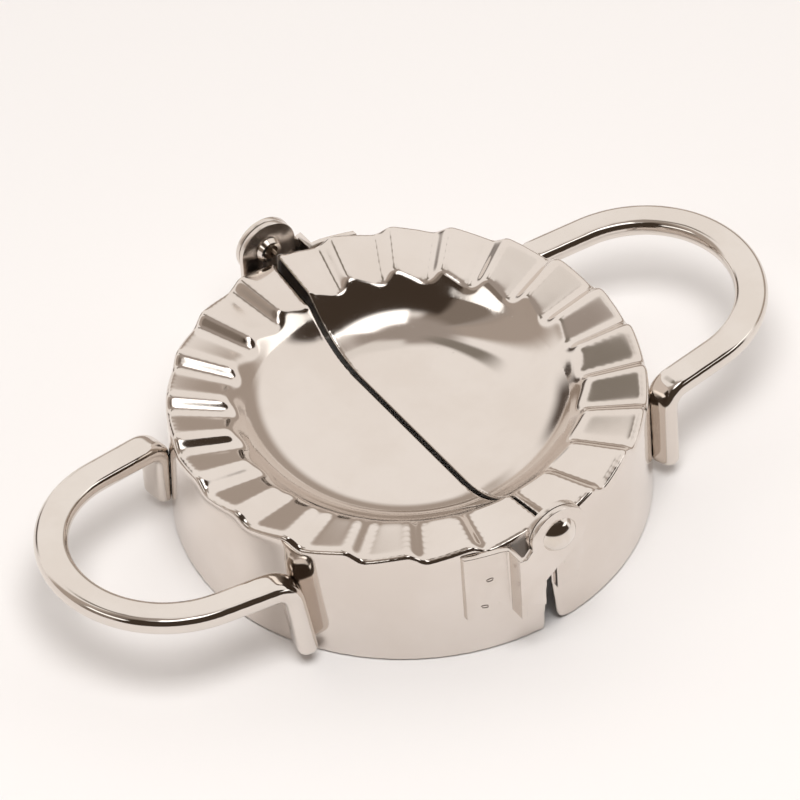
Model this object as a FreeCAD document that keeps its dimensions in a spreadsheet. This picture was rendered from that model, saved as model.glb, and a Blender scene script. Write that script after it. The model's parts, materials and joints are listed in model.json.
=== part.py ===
import FreeCAD, Part
import math
import os

import Sketcher
from FreeCAD import Placement, Rotation, Vector

# Dumpling mold of two pressed steel half shells, riveted together at both ends of the dividing line,
# each with a flat-bar loop handle.
# Frame: origin on the table under the middle of the open mold, +X towards the right handle,
# +Y along the hinge axis to the rear, +Z up. Millimetres.
# Each half is modelled in its own frame, with the dividing plane at y = 0 and the handle towards +Y,
# and is then turned a quarter turn about Z to the left or to the right.

# Driving sizes
SIZES = {
    # pressed half shell
    "rim_radius": 39.0,
    "wall_flare": 0.6,
    "sheet": 0.75,
    "rim_peak": 23.0,
    "half_gap": 0.4,
    "foot_corner": 2.2,
    "foot_relief": 1.0,
    "relief_top": 9.5,
    # toothed ring, angles in degrees
    "ring_width": 9.5,
    "ring_fall": 1.7,
    "tooth_count": 12,
    "tooth_drop": 1.74,
    "step_angle": 3.6,
    "tooth_round": 1.5,
    "rim_round": 0.6,
    "mouth_round": 1.1,
    # bowl
    "bowl_floor": 13.2,
    "bowl_foot_radius": 22.0,
    "bowl_round": 16.0,
    # hinge
    "axis_height": 22.8,
    "ear_radius": 5.2,
    "ear_sheet": 1.0,
    "ear_standoff": 1.5,
    "ear_clearance": 0.1,
    # outer strap
    "strap_end": 14.7,
    "strap_top": 21.4,
    "strap_bottom": 8.2,
    "strap_shoulder": 9.0,
    "strap_notch": 6.3,
    "strap_notch_drop": 0.5,
    "joggle": 7.6,
    "tongue_edge": 2.9,
    "tongue_top": 14.0,
    "tongue_bottom": 10.9,
    "tongue_tip": 8.8,
    # inner lug
    "lug_start": 0.8,
    "lug_skirt": 14.6,
    "lug_bottom": 8.6,
    # rivets
    "shank_radius": 1.9,
    "shank_clearance": 0.05,
    "head_radius": 3.1,
    "head_height": 1.8,
    "tail_radius": 2.3,
    "tail_height": 0.8,
    "tail_bore_radius": 1.3,
    "tail_bore_depth": 1.6,
    # loop handle, its centres measured outwards from the rim, angles in degrees
    "bar_width": 5.6,
    "bar_thickness": 3.4,
    "bar_round": 1.5,
    "bar_height": 16.0,
    "loop_radius": 18.5,
    "loop_center": 7.5,
    "loop_flare": 6.0,
    "loop_rise": 3.0,
    "leg_center": -2.6,
    "leg_splay": 10.0,
    "leg_bottom": 2.0,
    "leg_bend": 3.5,
    "leg_tip_round": 0.9,
    # how far a cutting shape runs past what it cuts
    "overrun": 2.0,
}

PITCH = "180 deg / size.tooth_count"
STEP = "size.step_angle * 1 deg"
# the teeth are cut from outside the rim to this share of the ring's width from it
TOOTH_REACH_SHARE = 1.5
# past a tooth the crests' height goes on to this share of the pitch, short of the crest after next
LAND_SHARE = 1.65
# the bowl's round takes up no more than this share of the bowl's wall
BOWL_ROUND_SHARE = 0.7
# an edge or corner is recognised within this share of the cutting overrun
MATCH_SHARE = 0.01

doc = FreeCAD.newDocument("dumpling_mold")
sheet = doc.addObject("Spreadsheet::Sheet", "size")
for row, (alias, number) in enumerate(SIZES.items(), start=1):
    sheet.set(f"A{row}", alias)
    sheet.set(f"B{row}", str(number))
    sheet.setAlias(f"B{row}", alias)
doc.recompute()


def read(alias):
    return float(sheet.get(alias))


MATCH = read("overrun") * MATCH_SHARE


def bind(item, expressions):
    for name, expression in expressions.items():
        item.setExpression(name, expression)
    return item


def combine(kind, name, base, tool):
    item = doc.addObject(f"Part::{kind}", name)
    item.Base = base
    item.Tool = tool
    return item


def join(name, pieces):
    item = doc.addObject("Part::MultiFuse", name)
    item.Shapes = pieces
    return item


def box(name, x, y, z):
    # each of x, y and z is the pair of expressions where the box starts and ends
    item = doc.addObject("Part::Box", name)
    for length, axis, (start, end) in zip(("Length", "Width", "Height"), "xyz", (x, y, z)):
        bind(item, {length: f"({end}) - ({start})", f"Placement.Base.{axis}": start})
    return item


def cross_cylinder(name, radius, start, end, y="0", z="size.axis_height"):
    # a cylinder lying along X
    item = doc.addObject("Part::Cylinder", name)
    item.Placement.Rotation = Rotation(Vector(0, 1, 0), 90)
    bind(item, {"Radius": radius, "Height": f"({end}) - ({start})"})
    bind(item, {"Placement.Base.x": start, "Placement.Base.y": y, "Placement.Base.z": z})
    return item


def wall_cone(name, offset="0"):
    # the shell wall's outer face as a solid, moved outwards by the offset
    item = doc.addObject("Part::Cone", name)
    return bind(item, {
        "Radius1": f"size.rim_radius + size.wall_flare + {offset}",
        "Radius2": f"size.rim_radius + {offset}",
        "Height": "size.rim_peak + size.overrun",
    })


def sketch_on(body, name, role, offset="0"):
    plane = next(item for item in body.Origin.OriginFeatures if item.Role == role)
    sketch = body.newObject("Sketcher::SketchObject", name)
    sketch.AttachmentSupport = [(plane, "")]
    sketch.MapMode = "FlatFace"
    return bind(sketch, {"AttachmentOffset.Base.z": offset})


def outline(sketch, points):
    # a closed outline of straight edges, each corner held by two expressions
    count = len(points)
    corners = [Vector(math.cos(turn), math.sin(turn), 0)
               for turn in (2 * math.pi * index / count for index in range(count))]
    for index in range(count):
        edge = Part.LineSegment(corners[index], corners[(index + 1) % count])
        sketch.addGeometry(edge, False)
    for index in range(count):
        following = (index + 1) % count
        sketch.addConstraint(Sketcher.Constraint("Coincident", index, 2, following, 1))
    for index, point in enumerate(points):
        for kind, axis, place in zip(("DistanceX", "DistanceY"), (-2, -1), point):
            if place == "0":
                sketch.addConstraint(Sketcher.Constraint("PointOnObject", index, 1, axis))
            elif place.startswith("-"):
                held = sketch.addConstraint(Sketcher.Constraint(kind, index, 1, -1, 1, 1.0))
                sketch.setExpression(f"Constraints[{held}]", place[1:])
            else:
                held = sketch.addConstraint(Sketcher.Constraint(kind, -1, 1, index, 1, 1.0))
                sketch.setExpression(f"Constraints[{held}]", place)


def ring_height(reach, angle, drop):
    # height of the ring's crests at a place in a plane square to the tooth's first radius
    slope = "size.ring_fall / size.ring_width"
    return f"size.rim_peak - ({drop}) - {slope} * (size.rim_radius - ({reach}) / cos({angle}))"


def tooth_section(body, name, reach, inset):
    # what is pressed away round a tooth: all above the crests, the steep step and the long ramp
    back, past = PITCH, f"{LAND_SHARE} * {PITCH}"
    top = "size.rim_peak + 2 * size.overrun"
    sketch = sketch_on(body, name, "YZ_Plane", reach)
    outline(sketch, [
        (f"-({reach}) * tan({back})", ring_height(reach, back, inset)),
        (f"-({reach}) * tan({STEP})", ring_height(reach, STEP, inset)),
        ("0", ring_height(reach, "0 deg", f"{inset} + size.tooth_drop")),
        (f"({reach}) * tan({PITCH} - {STEP})", ring_height(reach, f"{PITCH} - {STEP}", inset)),
        (f"({reach}) * tan({past})", ring_height(reach, past, inset)),
        (f"({reach}) * tan({past})", top),
        (f"-({reach}) * tan({back})", top),
    ])
    return sketch


def round_edges(body, name, base, radius, wanted):
    item = body.newObject("PartDesign::Fillet", f"{body.Name}_{name}")
    edges = enumerate(base.Shape.Edges, start=1)
    item.Base = (base, [f"Edge{index}" for index, edge in edges if wanted(edge)])
    bind(item, {"Radius": radius})
    body.Tip = item
    doc.recompute()
    return item


def pressed_form(name, inset, bottom):
    # the half shell's outer face as a solid, or with an inset its inner face
    body = doc.addObject("PartDesign::Body", name)
    side_shift = f"{inset} / 2"
    run = "(size.rim_radius - size.ring_width - size.bowl_foot_radius)"
    rise = "(size.rim_peak - size.ring_fall - size.bowl_floor)"
    profile = sketch_on(body, f"{name}_profile", "YZ_Plane")
    outline(profile, [
        ("0", bottom),
        (f"size.rim_radius + size.wall_flare - {inset}", bottom),
        (f"size.rim_radius - {inset}", f"size.rim_peak + size.overrun - {inset}"),
        (f"size.rim_radius - size.ring_width + {side_shift} + size.overrun * {run} / {rise}",
         f"size.rim_peak - size.ring_fall + size.overrun - {inset}"),
        (f"size.bowl_foot_radius + {side_shift}", f"size.bowl_floor - {inset}"),
        ("0", f"size.bowl_floor - {inset}"),
    ])
    turn = body.newObject("PartDesign::Revolution", f"{name}_turn")
    turn.Profile = profile
    turn.ReferenceAxis = (profile, ["V_Axis"])
    turn.Midplane = True
    bind(turn, {"Angle": f"180 deg + {PITCH}"})
    doc.recompute()

    def at_bowl_foot(edge):
        return (isinstance(edge.Curve, Part.Circle)
                and abs(edge.Curve.Center.z - turn.Shape.BoundBox.ZMin) > MATCH
                and edge.Curve.Radius < read("bowl_foot_radius") + read("sheet"))

    wall = f"hypot({run}; {rise})"
    widest = f"{BOWL_ROUND_SHARE} * {wall} * ({wall} + {run}) / {rise}"
    round_edges(body, "bowl", turn, f"min(size.bowl_round; {widest}) + {inset}", at_bowl_foot)

    outer_reach = "size.rim_radius + size.overrun"
    inner_reach = f"size.rim_radius - size.ring_width * {TOOTH_REACH_SHARE}"
    tooth = body.newObject("PartDesign::SubtractiveLoft", f"{name}_tooth")
    tooth.Profile = tooth_section(body, f"{name}_tooth_outside", outer_reach, inset)
    tooth.Sections = [tooth_section(body, f"{name}_tooth_inside", inner_reach, inset)]
    tooth.Ruled = True
    doc.recompute()

    teeth = body.newObject("PartDesign::PolarPattern", f"{name}_teeth")
    teeth.Originals = [tooth]
    upright = next(item for item in body.Origin.OriginFeatures if item.Role == "Z_Axis")
    teeth.Axis = (upright, [""])
    bind(teeth, {"Angle": "180 - 180 / size.tooth_count", "Occurrences": "size.tooth_count"})
    body.Tip = teeth
    doc.recompute()
    return body


def soften_ring(body):
    # the crests, valleys, rim and bowl mouth, rounded as a pressed sheet is
    mouth = (read("rim_radius") - read("ring_width"), read("rim_peak") - read("ring_fall"))
    bowl_foot = (read("bowl_foot_radius"), read("bowl_floor"))
    rim = (read("rim_radius"), read("rim_peak") + read("overrun"))
    wall_foot = (read("rim_radius") + read("wall_flare"), 0)

    def places(edge):
        # radius and height of an edge's start, middle and end
        middle = edge.valueAt((edge.FirstParameter + edge.LastParameter) / 2)
        points = (edge.Vertexes[0].Point, middle, edge.Vertexes[-1].Point)
        return [(math.hypot(point.x, point.y), point.z) for point in points]

    def between_ends(edge):
        # whether an edge stands clear of the end faces, which lie past the first step
        middle = edge.valueAt((edge.FirstParameter + edge.LastParameter) / 2)
        turn = math.degrees(math.atan2(middle.y, middle.x))
        return turn > -read("step_angle") - 180 / read("tooth_count") / 4

    def on_cone(edge, foot, top):
        lean = (top[0] - foot[0]) / (top[1] - foot[1])
        return (between_ends(edge) and not isinstance(edge.Curve, Part.Circle)
                and all(abs(radius - foot[0] - lean * (height - foot[1])) < MATCH
                        for radius, height in places(edge)))

    def across_ring(edge):
        start, _, end = places(edge)
        return between_ends(edge) and abs(start[0] - end[0]) > read("ring_width") / 2

    crests = round_edges(body, "crests", body.Tip, "size.tooth_round", across_ring)
    lip = round_edges(body, "rim", crests, "size.rim_round", lambda edge: on_cone(edge, wall_foot, rim))
    round_edges(body, "mouth", lip, "size.mouth_round", lambda edge: on_cone(edge, bowl_foot, mouth))
    return body


def shell():
    # one sheet pressed to a toothed ring round a shallow bowl, cut off at the dividing plane
    outside = soften_ring(pressed_form("shell_outside", "0", "0"))
    inside = pressed_form("shell_inside", "size.sheet", "-size.overrun")
    pressing = combine("Cut", "shell_pressing", outside, inside)
    reach = "size.rim_radius + size.wall_flare + size.overrun"
    dividing = box(
        "shell_dividing",
        (f"-({reach})", reach),
        (f"-({reach})", "size.half_gap"),
        ("-size.overrun", "size.rim_peak + size.overrun"),
    )
    # the wall's ends lean away from the dividing plane towards the table
    relief = doc.addObject("PartDesign::Body", "shell_relief")
    sketch = sketch_on(relief, "shell_relief_outline", "YZ_Plane")
    outline(sketch, [
        ("0", "-size.overrun"),
        ("size.half_gap + size.foot_relief", "-size.overrun"),
        ("size.half_gap + size.foot_relief", "0"),
        ("size.half_gap", "size.relief_top"),
        ("0", "size.relief_top"),
    ])
    pad = relief.newObject("PartDesign::Pad", "shell_relief_pad")
    pad.Profile = sketch
    pad.Midplane = True
    bind(pad, {"Length": f"2 * ({reach})"})
    # the foot corner is rounded at the lug's end
    lean = "atan(size.foot_relief / size.relief_top)"
    corner_middle = f"size.half_gap + size.foot_relief + size.foot_corner * (1 - sin({lean})) / cos({lean})"
    corner_block = box(
        "shell_corner_block",
        ("0", reach),
        ("0", corner_middle),
        ("-size.overrun", f"size.foot_corner * (1 - sin({lean}))"),
    )
    corner_round = cross_cylinder(
        "shell_corner_round", "size.foot_corner", "0", reach, corner_middle, "size.foot_corner",
    )
    corner = combine("Cut", "shell_corner", corner_block, corner_round)
    return pressing, join("shell_trim", [dividing, relief, corner])


def turn_teeth(name, pressing, angle):
    # the pressing turned about the middle of the mold, still to be cut off at the dividing plane
    item = doc.addObject("Part::Compound", name)
    item.Links = [pressing]
    item.Placement.Rotation = Rotation(Vector(0, 0, 1), read("step_angle"))
    return bind(item, {"Placement.Rotation.Angle": angle})


def rounded_bar_section(place):
    # the flat bar's section, lying in the XY plane of the placement
    width, thickness, radius = read("bar_width"), read("bar_thickness"), read("bar_round")
    across, along = width / 2 - radius, thickness / 2 - radius
    edges = []
    last = None
    for quarter, (right, up) in enumerate(((1, 1), (-1, 1), (-1, -1), (1, -1))):
        center = Vector(right * across, up * along, 0)
        turn = [math.radians(90 * quarter + part) for part in (0, 45, 90)]
        arc = [center + Vector(math.cos(angle), math.sin(angle), 0) * radius for angle in turn]
        if last is not None:
            edges.append(Part.LineSegment(last, arc[0]).toShape())
        edges.append(Part.Arc(*arc).toShape())
        last = arc[-1]
    edges.append(Part.LineSegment(last, edges[0].Vertexes[0].Point).toShape())
    section = Part.Wire(edges)
    section.Placement = place
    return section


def bend(corner, coming, going, radius):
    # start, middle and end of the arc that rounds a corner of the bar's centre line
    turn = coming.getAngle(going)
    setback = radius * math.tan(turn / 2)
    inward = (going - coming).normalize()
    center = corner + inward * (radius / math.cos(turn / 2))
    return [corner - coming * setback, center - inward * radius, corner + going * setback]


def handle_bar():
    # the flat bar from leg tip to leg tip, swept along its centre line
    tangent = math.radians(90 - read("loop_flare"))
    rise = math.radians(read("loop_rise"))
    rim, radius, height = read("rim_radius"), read("loop_radius"), read("bar_height")
    middle = rim + read("loop_center")

    def lift(x, outward):
        return Vector(x, middle + outward * math.cos(rise), height + outward * math.sin(rise))

    loop_end = lift(radius * math.sin(tangent), radius * math.cos(tangent))
    side_way = lift(math.cos(tangent), -math.sin(tangent)) - lift(0, 0)
    corner = loop_end + side_way * ((rim + read("leg_center") - loop_end.y) / side_way.y)
    # the legs splay along the wall towards the dividing plane
    splay = math.radians(read("leg_splay"))
    along_wall = Vector(corner.y, -corner.x, 0).normalize()
    down = along_wall * math.sin(splay) + Vector(0, 0, -math.cos(splay))
    turned = bend(corner, side_way, down, read("leg_bend"))
    tip = corner + down * ((read("leg_bottom") - corner.z) / down.z)

    def mirrored(point):
        return Vector(-point.x, point.y, point.z)

    right = [
        Part.LineSegment(loop_end, turned[0]),
        Part.Arc(*turned),
        Part.LineSegment(turned[2], tip),
    ]
    left = [
        Part.LineSegment(mirrored(tip), mirrored(turned[2])),
        Part.Arc(*(mirrored(point) for point in reversed(turned))),
        Part.LineSegment(mirrored(turned[0]), mirrored(loop_end)),
    ]
    loop = Part.Arc(mirrored(loop_end), lift(0, radius), loop_end)
    path = Part.Wire([curve.toShape() for curve in left + [loop] + right])
    # the bar's width lies in the loop's plane and is carried round the bend to the leg
    leg_way, arm_way = mirrored(down) * -1, mirrored(side_way) * -1
    width_way = arm_way.cross(Vector(0, -math.sin(rise), math.cos(rise)))
    width_way = Rotation(arm_way, leg_way).multVec(width_way)
    turned_leg = Rotation(width_way, leg_way.cross(width_way), leg_way, "ZXY")
    section = rounded_bar_section(Placement(mirrored(tip), turned_leg))
    bar = path.makePipeShell([section], True, False)

    def at_tip(edge, place, way):
        return ((edge.CenterOfMass - place).Length < read("bar_width")
                and all(abs((vertex.Point - place).dot(way)) < MATCH for vertex in edge.Vertexes))

    tips = [edge for edge in bar.Edges
            if at_tip(edge, tip, down) or at_tip(edge, mirrored(tip), mirrored(down))]
    item = doc.addObject("Part::Feature", "handle_bar")
    item.Shape = bar.makeFillet(read("leg_tip_round"), tips)
    return item


def handle():
    # the legs' backs are dressed to the wall that they are welded to
    return handle_bar(), wall_cone("handle_seat")


def outer_strap():
    # a strap welded to the wall, stepped outwards to a round ear over the other half's lug
    name = "strap"
    near = "size.rim_radius + size.ear_standoff + size.ear_sheet + size.ear_clearance"
    far = f"{near} + size.ear_sheet"
    crown = "size.axis_height + size.ear_radius"
    foot_ring = wall_cone(f"{name}_foot_ring", "size.ear_sheet")
    foot_block = box(f"{name}_foot_block", (f"-({far})", "0"),
                     ("size.joggle - size.ear_sheet", "size.strap_end"), ("0", crown))
    foot = combine("Common", f"{name}_foot", foot_ring, foot_block)
    step = box(f"{name}_step", (f"-({far})", "-size.rim_radius + 2 * size.ear_sheet"),
               ("size.joggle - size.ear_sheet", "size.joggle"), ("0", crown))
    plate = box(f"{name}_plate", (f"-({far})", f"-({near})"),
                ("-size.ear_radius", "size.joggle"), ("0", crown))
    blank = join(f"{name}_blank", [foot, step, plate])
    seated = combine("Cut", f"{name}_seated", blank, wall_cone(f"{name}_seat"))

    body = doc.addObject("PartDesign::Body", f"{name}_shape")
    sketch = sketch_on(body, f"{name}_outline", "YZ_Plane")
    outline(sketch, [
        ("size.strap_end", "size.strap_bottom"),
        ("size.strap_end", "size.strap_top"),
        ("size.strap_shoulder", "size.strap_top"),
        ("size.strap_notch", "size.strap_top - size.strap_notch_drop"),
        ("size.ear_radius * cos(30 deg)", "size.axis_height"),
        ("0", "size.axis_height"),
        ("-size.ear_radius * sin(30 deg)", "size.axis_height - size.ear_radius * cos(30 deg)"),
        ("size.tongue_edge", "size.tongue_top"),
        ("size.tongue_edge", "size.tongue_tip"),
        ("size.joggle - size.ear_sheet", "size.tongue_bottom"),
        ("size.joggle - size.ear_sheet", "size.strap_bottom"),
    ])
    pad = body.newObject("PartDesign::Pad", f"{name}_pad")
    pad.Profile = sketch
    pad.Reversed = True
    bind(pad, {"Length": f"{far} + size.overrun"})
    ear = cross_cylinder(f"{name}_ear", "size.ear_radius", f"-({far} + size.overrun)", "0")
    shape = join(f"{name}_side", [body, ear])
    cut_out = combine("Common", f"{name}_cut_out", seated, shape)
    hole = cross_cylinder(f"{name}_hole", "size.shank_radius + size.shank_clearance",
                          f"-({far} + size.overrun)", f"-({near} - size.overrun)")
    return cut_out, hole


def inner_lug():
    # a round-topped lug stepped out from the wall, behind the other half's ear
    name = "lug"
    near = "size.rim_radius + size.ear_standoff"
    far = f"{near} + size.ear_sheet"
    own_side = ("size.lug_start", "size.ear_radius")
    top = cross_cylinder(f"{name}_top", "size.ear_radius", near, far)
    plate = box(f"{name}_plate", (near, far), ("-size.ear_radius", "size.ear_radius"),
                ("size.lug_skirt", "size.axis_height"))
    step = box(f"{name}_step", ("size.rim_radius - 2 * size.ear_sheet", far), own_side,
               ("size.lug_skirt", "size.lug_skirt + size.ear_sheet"))
    foot_ring = wall_cone(f"{name}_foot_ring", "size.ear_sheet")
    foot_block = box(f"{name}_foot_block", ("0", far), own_side,
                     ("size.lug_bottom", "size.lug_skirt + size.ear_sheet"))
    foot = combine("Common", f"{name}_foot", foot_ring, foot_block)
    blank = join(f"{name}_blank", [top, plate, step, foot])
    seated = combine("Cut", f"{name}_seated", blank, wall_cone(f"{name}_seat"))
    hole = cross_cylinder(f"{name}_hole", "size.shank_radius + size.shank_clearance",
                          f"{near} - size.overrun", f"{far} + size.overrun")
    return seated, hole


def rivet():
    # domed head at z = 0 and up, shank and hollow flared tail below
    name = "rivet"
    grip = "(2 * size.ear_sheet + 2 * size.ear_clearance)"
    dome_radius = "((size.head_radius ^ 2 + size.head_height ^ 2) / (2 * size.head_height))"
    head = doc.addObject("Part::Sphere", f"{name}_head")
    bind(head, {
        "Radius": dome_radius,
        "Angle1": f"asin(1 - size.head_height / {dome_radius})",
        "Placement.Base.z": f"size.head_height - {dome_radius}",
    })
    shank = doc.addObject("Part::Cylinder", f"{name}_shank")
    bind(shank, {"Radius": "size.shank_radius", "Height": grip, "Placement.Base.z": f"-{grip}"})
    tail = doc.addObject("Part::Cone", f"{name}_tail")
    bind(tail, {
        "Radius1": "size.shank_radius",
        "Radius2": "size.tail_radius",
        "Height": "size.tail_height",
        "Placement.Base.z": f"-{grip} - size.tail_height",
    })
    bore = doc.addObject("Part::Cylinder", f"{name}_bore")
    bind(bore, {
        "Radius": "size.tail_bore_radius",
        "Height": "size.tail_bore_depth + size.overrun",
        "Placement.Base.z": f"-{grip} - size.tail_height - size.overrun",
    })
    return join(f"{name}_blank", [head, shank, tail]), bore


parts = []

# The two halves: the same pieces, half a turn apart. The right shell's teeth lie one step further
# round, so that its crests fold into the left shell's valleys.
pressing, trim = shell()
half = [handle(), outer_strap(), inner_lug()]
for side, quarter, shift, strap_end, lug_end in (("left", 90, "0 deg", "front", "rear"),
                                                 ("right", -90, STEP, "rear", "front")):
    names = (f"{side}_shell", f"{side}_handle", f"{strap_end}_outer_strap", f"{lug_end}_inner_lug")
    shifted = turn_teeth(f"{side}_pressing", pressing, shift)
    for name, (blank, cut) in zip(names, [(shifted, trim)] + half):
        item = combine("Cut", name, blank, cut)
        item.Placement = Placement(Vector(0, 0, 0), Rotation(Vector(0, 0, 1), quarter))
        parts.append(item)

# The rivets sit on the left half: the front one's head on its strap, the rear one's tail on its lug
head_seat = "size.rim_radius + size.ear_standoff + 2 * size.ear_sheet + size.ear_clearance"
blank, bore = rivet()
for end, turn, seat in (("front", 90, f"-({head_seat})"), ("rear", -90, f"{head_seat} + size.ear_clearance")):
    item = combine("Cut", f"{end}_rivet", blank, bore)
    item.Placement = Placement(Vector(0, 0, 0), Rotation(Vector(1, 0, 0), turn))
    bind(item, {"Placement.Base.y": seat, "Placement.Base.z": "size.axis_height"})
    parts.append(item)

doc.recompute()

# Every object must have been built, and every part must be one valid solid
for item in doc.Objects:
    if "Invalid" in item.State or "Error" in item.State:
        raise RuntimeError(f"{item.Name} was not built: {item.State}")
for item in parts:
    shape = item.Shape
    if shape.isNull() or not shape.isValid() or len(shape.Solids) != 1:
        raise RuntimeError(f"{item.Name} is not one valid solid")

os.makedirs("parts", exist_ok=True)
for item in parts:
    item.Shape.exportStep(f"parts/{item.Label}.step")
    extent = item.Shape.BoundBox
    print(f"{item.Label}: {item.Shape.Volume:.1f} mm3, {len(item.Shape.Faces)} faces, "
          f"x {extent.XMin:.2f} to {extent.XMax:.2f}, y {extent.YMin:.2f} to {extent.YMax:.2f}, "
          f"z {extent.ZMin:.2f} to {extent.ZMax:.2f}")
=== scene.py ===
import json
import math

import bpy
from mathutils import Matrix, Vector

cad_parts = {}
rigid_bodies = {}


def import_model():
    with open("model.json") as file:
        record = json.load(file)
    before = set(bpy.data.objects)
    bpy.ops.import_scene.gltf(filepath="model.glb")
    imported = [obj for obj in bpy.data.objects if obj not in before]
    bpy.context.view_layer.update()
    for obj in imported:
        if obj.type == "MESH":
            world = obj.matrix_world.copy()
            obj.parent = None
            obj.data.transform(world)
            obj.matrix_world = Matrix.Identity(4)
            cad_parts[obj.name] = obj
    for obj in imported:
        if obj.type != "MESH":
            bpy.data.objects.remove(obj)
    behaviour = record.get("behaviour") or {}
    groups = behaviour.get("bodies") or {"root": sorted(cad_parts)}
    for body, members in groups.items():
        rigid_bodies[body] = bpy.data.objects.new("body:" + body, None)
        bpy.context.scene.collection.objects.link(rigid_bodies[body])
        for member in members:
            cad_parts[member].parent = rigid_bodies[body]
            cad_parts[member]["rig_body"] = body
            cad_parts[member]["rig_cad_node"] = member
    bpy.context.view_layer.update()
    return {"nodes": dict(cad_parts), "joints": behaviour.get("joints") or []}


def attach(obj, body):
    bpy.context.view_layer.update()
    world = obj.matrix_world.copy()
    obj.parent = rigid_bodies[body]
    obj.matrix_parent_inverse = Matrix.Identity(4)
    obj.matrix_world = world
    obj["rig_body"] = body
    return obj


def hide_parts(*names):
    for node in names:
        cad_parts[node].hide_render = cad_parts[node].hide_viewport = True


bpy.ops.object.select_all(action="SELECT")
bpy.ops.object.delete()
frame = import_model()
print("frame loaded,", len(frame["nodes"]), "pieces of steel")


# node helpers for the steel finishes and the studio

def addNode(tree, kind, **settings):
    node = tree.nodes.new(kind)
    for setting, value in settings.items():
        setattr(node, setting, value)
    return node


def feed(tree, socket, value):
    if isinstance(value, bpy.types.NodeSocket):
        tree.links.new(value, socket)
    else:
        socket.default_value = value


def sums(tree, operation, *values):
    node = addNode(tree, "ShaderNodeMath", operation=operation)
    for socket, value in zip(node.inputs, values):
        feed(tree, socket, value)
    return node.outputs[0]


def ramp(tree, value, fromLow, fromHigh, toLow, toHigh, soft=True):
    node = addNode(tree, "ShaderNodeMapRange", interpolation_type="SMOOTHSTEP" if soft else "LINEAR")
    for socket, number in zip(node.inputs, (value, fromLow, fromHigh, toLow, toHigh)):
        feed(tree, socket, number)
    return node.outputs[0]


def tint(tree, amount, below, above):
    node = addNode(tree, "ShaderNodeMix", data_type="RGBA")
    feed(tree, node.inputs[0], amount)
    feed(tree, node.inputs[6], below)
    feed(tree, node.inputs[7], above)
    return node.outputs[2]


def grain(tree, place, scale, detail, roughness=0.5):
    node = addNode(tree, "ShaderNodeTexNoise")
    feed(tree, node.inputs["Vector"], place)
    feed(tree, node.inputs["Scale"], scale)
    feed(tree, node.inputs["Detail"], detail)
    feed(tree, node.inputs["Roughness"], roughness)
    return node.outputs["Fac"]


def split(tree, place):
    node = addNode(tree, "ShaderNodeSeparateXYZ")
    tree.links.new(place, node.inputs[0])
    return tuple(node.outputs)


def within(tree, value, edge):
    limit, fade = edge
    return ramp(tree, value, limit, limit + fade, 1.0, 0.0)


def beyond(tree, value, edge):
    limit, fade = edge
    return ramp(tree, value, limit, limit + fade, 0.0, 1.0)


# masks for the places that the polishing wheel doesn't reach

hingeHeight = frame["joints"][0]["pos_m"][2]


def cutEdges(tree, place, finish):  # along the dividing line, left grey by the shears
    return within(tree, sums(tree, "ABSOLUTE", split(tree, place)[0]), finish["cutReach"])


def behindStraps(tree, place, finish):  # the wall behind each ear, front left and rear right
    x, y, z = split(tree, place)
    mask = beyond(tree, sums(tree, "MULTIPLY", x, y), finish["hiddenCorner"])
    for edge in (within(tree, sums(tree, "ABSOLUTE", x), finish["hiddenSide"]),
                 beyond(tree, sums(tree, "ABSOLUTE", y), finish["hiddenDepth"]),
                 beyond(tree, z, finish["hiddenFoot"])):
        mask = sums(tree, "MULTIPLY", mask, edge)
    return mask


def hollowEnds(tree, place, finish):  # the rivets' tails, with oil left in them
    x, y, z = split(tree, place)
    above = sums(tree, "SUBTRACT", z, hingeHeight)
    squared = sums(tree, "ADD", sums(tree, "MULTIPLY", x, x), sums(tree, "MULTIPLY", above, above))
    return sums(tree, "MULTIPLY", within(tree, sums(tree, "SQRT", squared), finish["boreReach"]),
                within(tree, sums(tree, "ABSOLUTE", y), finish["boreEnd"]))


# polished stainless steel: a warm mirror with faint cloudy handling marks, a few fine pits
# and the slight waviness of cold-worked metal

steelGrain = {
    "cloudDetail": 4.0, "cloudRoughness": 0.6, "colourBand": (0.35, 0.65), "polishBand": (0.3, 0.7),
    "pitDetail": 2.0, "pitFade": 0.06, "waveDetail": 1.0,
}


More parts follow.
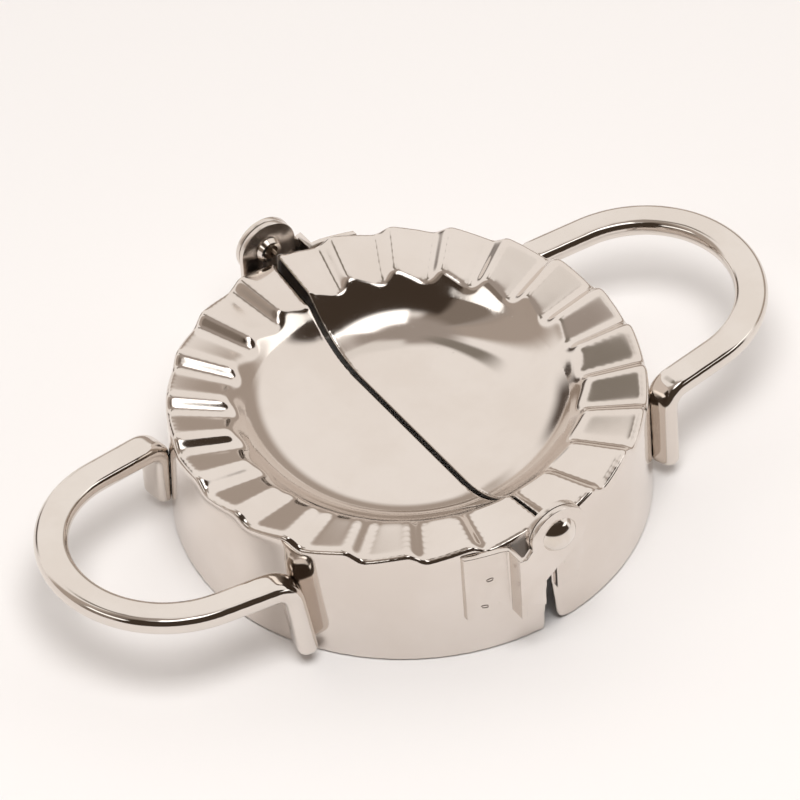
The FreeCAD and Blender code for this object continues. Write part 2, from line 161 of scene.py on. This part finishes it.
def polishedSteel(name, finish):
    steel = bpy.data.materials.new(name)
    steel.use_nodes = True
    tree = steel.node_tree
    tree.nodes.clear()
    out = addNode(tree, "ShaderNodeOutputMaterial")
    shader = addNode(tree, "ShaderNodeBsdfPrincipled")
    tree.links.new(shader.outputs[0], out.inputs[0])
    place = addNode(tree, "ShaderNodeTexCoord").outputs["Object"]

    clouds = grain(tree, place, finish["cloudScale"], steelGrain["cloudDetail"], steelGrain["cloudRoughness"])
    dulled = ramp(tree, clouds, *steelGrain["colourBand"], 0.0, 1.0)
    colour = tint(tree, dulled, finish["colour"], finish["dullColour"])
    pits = beyond(tree, grain(tree, place, finish["pitScale"], steelGrain["pitDetail"]),
                  (finish["pitLevel"], steelGrain["pitFade"]))
    polish = ramp(tree, clouds, *steelGrain["polishBand"], *finish["roughness"])
    polish = sums(tree, "ADD", polish, sums(tree, "MULTIPLY", pits, finish["pitRoughness"]))
    metal = 1.0
    if "cutReach" in finish:
        sheared = cutEdges(tree, place, finish)
        colour = tint(tree, sheared, colour, finish["cutColour"])
        polish = sums(tree, "ADD", polish, sums(tree, "MULTIPLY", sheared, finish["cutRoughness"]))
    if "hiddenSide" in finish:
        hidden = behindStraps(tree, place, finish)
        polish = sums(tree, "ADD", polish, sums(tree, "MULTIPLY", hidden, finish["hiddenRoughness"]))
        metal = ramp(tree, hidden, 0.0, 1.0, 1.0, finish["hiddenMetal"])
    if "boreReach" in finish:
        colour = tint(tree, hollowEnds(tree, place, finish), colour, finish["boreColour"])
    feed(tree, shader.inputs["Base Color"], colour)
    feed(tree, shader.inputs["Roughness"], polish)
    feed(tree, shader.inputs["Metallic"], metal)

    waves = addNode(tree, "ShaderNodeBump")
    feed(tree, waves.inputs["Height"], grain(tree, place, finish["waveScale"], steelGrain["waveDetail"]))
    waves.inputs["Strength"].default_value = finish["waveStrength"]
    waves.inputs["Distance"].default_value = finish["waveDepth"]
    specks = addNode(tree, "ShaderNodeBump", invert=True)
    feed(tree, specks.inputs["Height"], pits)
    specks.inputs["Strength"].default_value = finish["pitStrength"]
    specks.inputs["Distance"].default_value = finish["pitDepth"]
    tree.links.new(waves.outputs[0], specks.inputs["Normal"])
    tree.links.new(specks.outputs[0], shader.inputs["Normal"])
    return steel


# the cut, hidden and bore pairs are a mask's limit and the width over which it fades

shellFinish = {
    "colour": (0.745, 0.69, 0.645, 1), "dullColour": (0.715, 0.655, 0.605, 1),
    "roughness": (0.06, 0.11),
    "cloudScale": 55.0,
    "pitScale": 1500.0, "pitLevel": 0.74, "pitRoughness": 0.15, "pitStrength": 0.12, "pitDepth": 0.00004,
    "waveScale": 70.0, "waveStrength": 0.06, "waveDepth": 0.0004,
    "cutReach": (0.00045, 0.000045), "cutColour": (0.62, 0.57, 0.52, 1), "cutRoughness": 0.35,
    "hiddenSide": (0.0068, 0.0004), "hiddenDepth": (0.0383, 0.0003), "hiddenFoot": (0.0172, 0.0006),
    "hiddenCorner": (0.0, 0.000026),  # of x times y, which is above zero on the strap's side only
    "hiddenRoughness": 0.35, "hiddenMetal": 0.6,
}
barFinish = {
    "colour": (0.75, 0.70, 0.655, 1), "dullColour": (0.72, 0.665, 0.615, 1),
    "roughness": (0.05, 0.10),
    "cloudScale": 80.0,
    "pitScale": 1300.0, "pitLevel": 0.73, "pitRoughness": 0.15, "pitStrength": 0.15, "pitDepth": 0.00005,
    "waveScale": 110.0, "waveStrength": 0.05, "waveDepth": 0.0004,
}
strapFinish = {
    "colour": (0.75, 0.695, 0.65, 1), "dullColour": (0.71, 0.65, 0.60, 1),
    "roughness": (0.17, 0.25),
    "cloudScale": 120.0,
    "pitScale": 1700.0, "pitLevel": 0.72, "pitRoughness": 0.18, "pitStrength": 0.15, "pitDepth": 0.00004,
    "waveScale": 160.0, "waveStrength": 0.05, "waveDepth": 0.0003,
}
rivetFinish = {
    "colour": (0.76, 0.71, 0.665, 1), "dullColour": (0.70, 0.64, 0.575, 1),
    "roughness": (0.05, 0.11),
    "cloudScale": 300.0,
    "pitScale": 2200.0, "pitLevel": 0.70, "pitRoughness": 0.15, "pitStrength": 0.15, "pitDepth": 0.00004,
    "waveScale": 260.0, "waveStrength": 0.05, "waveDepth": 0.0002,
    "boreReach": (0.00096, 0.00024), "boreEnd": (0.0408, 0.0004), "boreColour": (0.62, 0.53, 0.27, 1),
}

shellSteel = polishedSteel("polished_pressed_steel", shellFinish)
barSteel = polishedSteel("polished_bar_steel", barFinish)
strapSteel = polishedSteel("polished_strap_steel", strapFinish)
rivetSteel = polishedSteel("polished_rivet_steel", rivetFinish)

steelOfNode = {
    "left_shell": shellSteel, "right_shell": shellSteel,
    "left_handle": barSteel, "right_handle": barSteel,
    "front_outer_strap": strapSteel, "rear_outer_strap": strapSteel,
    "front_inner_lug": strapSteel, "rear_inner_lug": strapSteel,
    "front_rivet": rivetSteel, "rear_rivet": rivetSteel,
}
for nodeName, steel in steelOfNode.items():
    node = frame["nodes"][nodeName]
    node.data.materials.clear()
    node.data.materials.append(steel)
print("steel finishes assigned")


# a loose copy of a frame node, merged to one skin, to work on

mergeDistance = 0.000005


def copyNode(nodeName, pieceName, bodyName):
    bpy.ops.object.select_all(action="DESELECT")
    node = frame["nodes"][nodeName]
    node.select_set(True)
    bpy.context.view_layer.objects.active = node
    bpy.ops.object.duplicate()
    piece = bpy.context.active_object
    piece.parent = None
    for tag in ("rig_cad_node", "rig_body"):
        del piece[tag]
    piece.name = pieceName
    piece.data.name = pieceName
    bpy.ops.mesh.customdata_custom_splitnormals_clear()
    bpy.ops.object.mode_set(mode="EDIT")
    bpy.ops.mesh.select_all(action="SELECT")
    bpy.ops.mesh.remove_doubles(threshold=mergeDistance)
    bpy.ops.object.mode_set(mode="OBJECT")
    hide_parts(nodeName)
    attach(piece, bodyName)
    return piece


# pressings: one even skin, the crimped ring softened as the die leaves it, the shears' edges turned over

pressedSheet = {
    "skin": 0.00026, "edgePasses": 5, "broadPasses": 150, "ringPasses": 60, "pull": 0.5, "mostFaces": 190000,
    "ringInside": 0.0264, "ringFloor": 0.0172, "wallInside": 0.0365, "wallTop": 0.0195,
    "cutClear": 0.0013, "footClear": 0.0012,
}


def evenSkin(piece, size):
    skin = piece.modifiers.new("even_skin", "REMESH")
    skin.mode = "VOXEL"
    skin.voxel_size = size
    bpy.ops.object.modifier_apply(modifier=skin.name)


def relax(piece, passes, pull, group=""):
    smoothing = piece.modifiers.new("relaxed", "CORRECTIVE_SMOOTH")
    smoothing.smooth_type = "LENGTH_WEIGHTED"
    smoothing.use_only_smooth = True
    smoothing.factor = pull
    smoothing.iterations = passes
    smoothing.vertex_group = group
    bpy.ops.object.modifier_apply(modifier=smoothing.name)


def softenPressing(nodeName, pieceName, bodyName):
    pressing = copyNode(nodeName, pieceName, bodyName)
    evenSkin(pressing, pressedSheet["skin"])
    relax(pressing, pressedSheet["edgePasses"], pressedSheet["pull"])
    clear = [vertex for vertex in pressing.data.vertices  # away from the cut edges and the foot
             if abs(vertex.co.x) > pressedSheet["cutClear"] and vertex.co.z > pressedSheet["footClear"]]
    broad = pressing.vertex_groups.new(name="wall_and_bowl")
    broad.add([vertex.index for vertex in clear if vertex.co.xy.length < pressedSheet["ringInside"]
               or vertex.co.xy.length > pressedSheet["wallInside"] and vertex.co.z < pressedSheet["wallTop"]],
              1.0, "REPLACE")
    ring = pressing.vertex_groups.new(name="crimped_ring")
    ring.add([vertex.index for vertex in clear if vertex.co.xy.length > pressedSheet["ringInside"]
              and vertex.co.z > pressedSheet["ringFloor"]], 1.0, "REPLACE")
    relax(pressing, pressedSheet["broadPasses"], pressedSheet["pull"], broad.name)
    relax(pressing, pressedSheet["ringPasses"], pressedSheet["pull"], ring.name)
    pressing.vertex_groups.clear()
    triangles = 2 * len(pressing.data.polygons)  # the skin is all squares
    thin = pressing.modifiers.new("thinned", "DECIMATE")  # flat stretches give up their faces first
    thin.ratio = pressedSheet["mostFaces"] / triangles
    bpy.ops.object.modifier_apply(modifier=thin.name)
    bpy.ops.object.shade_smooth()
    print(pieceName, "softened,", len(pressing.data.polygons), "faces")


softenPressing("left_shell", "left_pressing", "left_half")
softenPressing("right_shell", "right_pressing", "right_half")


# straps and lugs: the stamped blanks with their edges broken

stampedEdges = {"width": 0.00016, "segments": 3, "edgeAngle": 30, "smoothAngle": 25, "flatAngle": 0.3}


def breakEdges(nodeName, pieceName, bodyName):
    plate = copyNode(nodeName, pieceName, bodyName)
    bpy.ops.object.mode_set(mode="EDIT")
    bpy.ops.mesh.select_all(action="SELECT")
    bpy.ops.mesh.dissolve_limited(angle_limit=math.radians(stampedEdges["flatAngle"]))
    bpy.ops.object.mode_set(mode="OBJECT")
    bevel = plate.modifiers.new("broken_edge", "BEVEL")
    bevel.limit_method = "ANGLE"
    bevel.angle_limit = math.radians(stampedEdges["edgeAngle"])
    bevel.width = stampedEdges["width"]
    bevel.segments = stampedEdges["segments"]
    bpy.ops.object.modifier_apply(modifier=bevel.name)
    bpy.ops.object.shade_smooth_by_angle(angle=math.radians(stampedEdges["smoothAngle"]))
    print(pieceName, "edges broken,", len(plate.data.polygons), "faces")


breakEdges("front_outer_strap", "front_strap_plate", "left_half")
breakEdges("rear_outer_strap", "rear_strap_plate", "right_half")
breakEdges("front_inner_lug", "front_lug_plate", "right_half")
breakEdges("rear_inner_lug", "rear_lug_plate", "left_half")


# handles: the bent bars with their faces crowned by the polishing wheel

crownedBar = {"skin": 0.00025, "passes": 24, "pull": 0.5}


def crownBar(nodeName, pieceName, bodyName):
    bar = copyNode(nodeName, pieceName, bodyName)
    evenSkin(bar, crownedBar["skin"])
    relax(bar, crownedBar["passes"], crownedBar["pull"])
    bpy.ops.object.shade_smooth()
    print(pieceName, "crowned,", len(bar.data.polygons), "faces")


crownBar("left_handle", "left_bar", "left_half")
crownBar("right_handle", "right_bar", "right_half")


# spot welds that hold each strap to its wall: small oval nuggets with a raised lip and a sunken middle

spotWeld = {
    "length": 0.0013, "width": 0.00055, "proud": 0.0001, "root": 0.0004, "sides": 24,
    "lip": 0.000165, "sink": 0.00014, "facingUp": 0.9,
    "lipRound": 0.000055, "lipSegments": 3, "lipAngle": 25, "smoothAngle": 50,
    "wall": 0.0390, "flare": 0.0006, "flareHeight": 0.025, "strap": 0.001,
    "places": {"upper": (-15.7, 0.0161, 10), "lower": (-17.2, 0.0106, -9)},  # turn from hinge, height, tilt
    "hinges": {"front": (-90, "left_half"), "rear": (90, "right_half")},  # bearing, and the strap's body
}

bpy.ops.object.select_all(action="DESELECT")
nuggetDepth = spotWeld["root"] + spotWeld["proud"]
bpy.ops.mesh.primitive_cylinder_add(vertices=spotWeld["sides"], radius=spotWeld["length"] / 2,
                                    depth=nuggetDepth, location=(0, 0, spotWeld["proud"] - nuggetDepth / 2))
nugget = bpy.context.active_object
nugget.name = "weld_nugget"
nugget.scale.y = spotWeld["width"] / spotWeld["length"]
bpy.ops.object.transform_apply(location=True, rotation=True, scale=True)
bpy.ops.object.mode_set(mode="EDIT")
bpy.ops.mesh.select_all(action="DESELECT")
bpy.ops.object.mode_set(mode="OBJECT")
for face in nugget.data.polygons:
    face.select = face.normal.z > spotWeld["facingUp"]
bpy.ops.object.mode_set(mode="EDIT")
bpy.ops.mesh.select_mode(type="FACE")
bpy.ops.mesh.inset(thickness=spotWeld["lip"])
bpy.ops.transform.translate(value=(0, 0, -spotWeld["sink"]))
bpy.ops.object.mode_set(mode="OBJECT")
lip = nugget.modifiers.new("melted_lip", "BEVEL")
lip.limit_method = "ANGLE"
lip.angle_limit = math.radians(spotWeld["lipAngle"])
lip.width = spotWeld["lipRound"]
lip.segments = spotWeld["lipSegments"]
bpy.ops.object.modifier_apply(modifier=lip.name)
bpy.ops.object.shade_smooth_by_angle(angle=math.radians(spotWeld["smoothAngle"]))
nugget.data.materials.append(strapSteel)


def setWeld(name, bodyName, hinge, place):
    along, height, tilt = place
    bearing = math.radians(hinge + along)
    face = spotWeld["wall"] + spotWeld["flare"] * (1 - height / spotWeld["flareHeight"]) + spotWeld["strap"]
    outward = Vector((math.cos(bearing), math.sin(bearing), 0))
    around = Vector((-math.sin(bearing), math.cos(bearing), 0))
    lean = math.radians(tilt)
    lengthwise = around * math.cos(lean) + Vector((0, 0, 1)) * math.sin(lean)
    bpy.ops.object.select_all(action="DESELECT")
    nugget.select_set(True)
    bpy.context.view_layer.objects.active = nugget
    bpy.ops.object.duplicate()
    weld = bpy.context.active_object
    weld.name = name
    weld.matrix_world = (Matrix.Translation(outward * face + Vector((0, 0, height)))
                         @ Matrix((lengthwise, outward.cross(lengthwise), outward)).transposed().to_4x4())
    bpy.ops.object.transform_apply(location=True, rotation=True, scale=True)
    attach(weld, bodyName)


for tier, place in spotWeld["places"].items():
    for end, (hinge, bodyName) in spotWeld["hinges"].items():
        setWeld(end + "_weld_" + tier, bodyName, hinge, place)
bpy.data.objects.remove(nugget)
print("spot welds set")


# the room: pale walls behind and to the right, a dark room in front, a soft box overhead and two cards

room = {
    "wall": (1.05, 1.005, 0.965, 1),
    "dullStrength": 0.76,  # strength of the room's light on dull surfaces; the camera and mirrors see it at 1
    "patches": {  # in degrees: azimuth, half width, elevation, half height, softness; then slant, colour
        "low wall": (25, 46, 6, 14, 5, 0, (0.47, 0.40, 0.345, 1)),
        "left rear wall": (152, 17, 40, 40, 7, 0, (0.48, 0.41, 0.355, 1)),
        "left wall": (190, 24, 40, 45, 7, 0, (0.26, 0.215, 0.18, 1)),
        "ceiling": (0, 400, 90, 18, 5, 0, (0.42, 0.365, 0.325, 1)),
        "window top": (36, 22, 73, 6, 3, 0, (0.95, 0.91, 0.87, 1)),
        "rear beam": (97, 14, 68, 10, 5, 0, (0.28, 0.25, 0.215, 1)),
        "front room": (-99, 63, 33, 33, 4, 0, (0.06, 0.043, 0.031, 1)),
        "rear gap": (99, 12, 7, 10, 7, 0, (0.12, 0.095, 0.08, 1)),
        "front box": (-87, 42, 72, 8, 2.5, 0, (2.4, 2.38, 2.35, 1)),
        "right card": (-41, 12, 29, 6, 2, -1.4, (1.8, 1.77, 1.72, 1)),
        "left card": (186, 18, 35, 6, 2, 0, (1.7, 1.67, 1.62, 1)),
    },
}
halfTurn = 180.0

world = bpy.data.worlds.new("studio")
bpy.context.scene.world = world
world.use_nodes = True
sky = world.node_tree
sky.nodes.clear()
towardsX, towardsY, towardsZ = split(sky, addNode(sky, "ShaderNodeTexCoord").outputs["Generated"])
azimuth = sums(sky, "DEGREES", sums(sky, "ARCTAN2", towardsY, towardsX))
elevation = sums(sky, "DEGREES", sums(sky, "ARCSINE", towardsZ))
light = room["wall"]
for middle, halfWidth, height, halfHeight, softness, slant, colour in room["patches"].values():
    up = sums(sky, "SUBTRACT", elevation, height)
    turned = sums(sky, "SUBTRACT", azimuth, middle)
    if slant:
        turned = sums(sky, "SUBTRACT", turned, sums(sky, "MULTIPLY", up, slant))
    aside = sums(sky, "ABSOLUTE", sums(sky, "WRAP", turned, halfTurn, -halfTurn))
    across = ramp(sky, aside, halfWidth - softness, halfWidth + softness, 1.0, 0.0)
    along = ramp(sky, sums(sky, "ABSOLUTE", up), halfHeight - softness, halfHeight + softness, 1.0, 0.0)
    light = tint(sky, sums(sky, "MULTIPLY", across, along), light, colour)
backdrop = addNode(sky, "ShaderNodeBackground")
feed(sky, backdrop.inputs[0], light)
ray = addNode(sky, "ShaderNodeLightPath")
seen = sums(sky, "MAXIMUM", ray.outputs["Is Camera Ray"], ray.outputs["Is Glossy Ray"])
feed(sky, backdrop.inputs[1], ramp(sky, seen, 0.0, 1.0, room["dullStrength"], 1.0))
sky.links.new(backdrop.outputs[0], addNode(sky, "ShaderNodeOutputWorld").inputs[0])
print("room walls, soft box and cards set")


# the soft box's own light, from in front and above; mirrors see the box in the room instead

keyLamp = {
    "azimuth": -118, "elevation": 70, "distance": 1.1, "size": 0.6, "power": 8.1, "colour": (1, 0.995, 0.995),
}

swing, tip = math.radians(keyLamp["azimuth"]), math.radians(keyLamp["elevation"])
toLamp = Vector((math.cos(swing) * math.cos(tip), math.sin(swing) * math.cos(tip), math.sin(tip)))
bpy.ops.object.light_add(type="AREA", location=toLamp * keyLamp["distance"],
                         rotation=toLamp.to_track_quat("Z", "Y").to_euler())
key = bpy.context.active_object
key.name = "soft_box_light"
key.data.size = keyLamp["size"]
key.data.energy = keyLamp["power"]
key.data.color = keyLamp["colour"]
key.visible_glossy = False
print("lamp set")


# plain pale table top

table = {"size": 4.0, "height": -0.00025, "colour": (0.93, 0.905, 0.89, 1), "roughness": 0.6, "shine": 0.2}

bpy.ops.object.select_all(action="DESELECT")
bpy.ops.mesh.primitive_plane_add(size=table["size"], location=(0, 0, table["height"]))
tableTop = bpy.context.active_object
tableTop.name = "table_top"
paint = bpy.data.materials.new("pale_table")
paint.use_nodes = True
paintShader = paint.node_tree.nodes["Principled BSDF"]
paintShader.inputs["Base Color"].default_value = table["colour"]
paintShader.inputs["Roughness"].default_value = table["roughness"]
paintShader.inputs["Specular IOR Level"].default_value = table["shine"]
tableTop.data.materials.append(paint)
print("table set")


# camera at the photograph's place

shot = {
    "azimuth": -31.91, "elevation": 43.78, "roll": -3.49,
    "distance": 0.86523, "target": (-0.00252, -0.00181, 0.02213),
    "lens": 241.63, "sensor": 36, "farthest": 20,
}

turn, rise, roll = (math.radians(shot[part]) for part in ("azimuth", "elevation", "roll"))
backward = Vector((math.sin(turn) * math.cos(rise), -math.cos(turn) * math.cos(rise), math.sin(rise)))
level = Vector((math.cos(turn), math.sin(turn), 0))
upward = backward.cross(level)
sideways = level * math.cos(roll) + upward * math.sin(roll)
upright = upward * math.cos(roll) - level * math.sin(roll)
bpy.ops.object.camera_add()
camera = bpy.context.active_object
camera.matrix_world = (Matrix.Translation(Vector(shot["target"]) + backward * shot["distance"])
                       @ Matrix((sideways, upright, backward)).transposed().to_4x4())
camera.data.sensor_width = shot["sensor"]
camera.data.lens = shot["lens"]
camera.data.clip_end = shot["farthest"]
bpy.context.scene.camera = camera
bpy.context.scene.view_settings.view_transform = "Standard"
print("camera set")
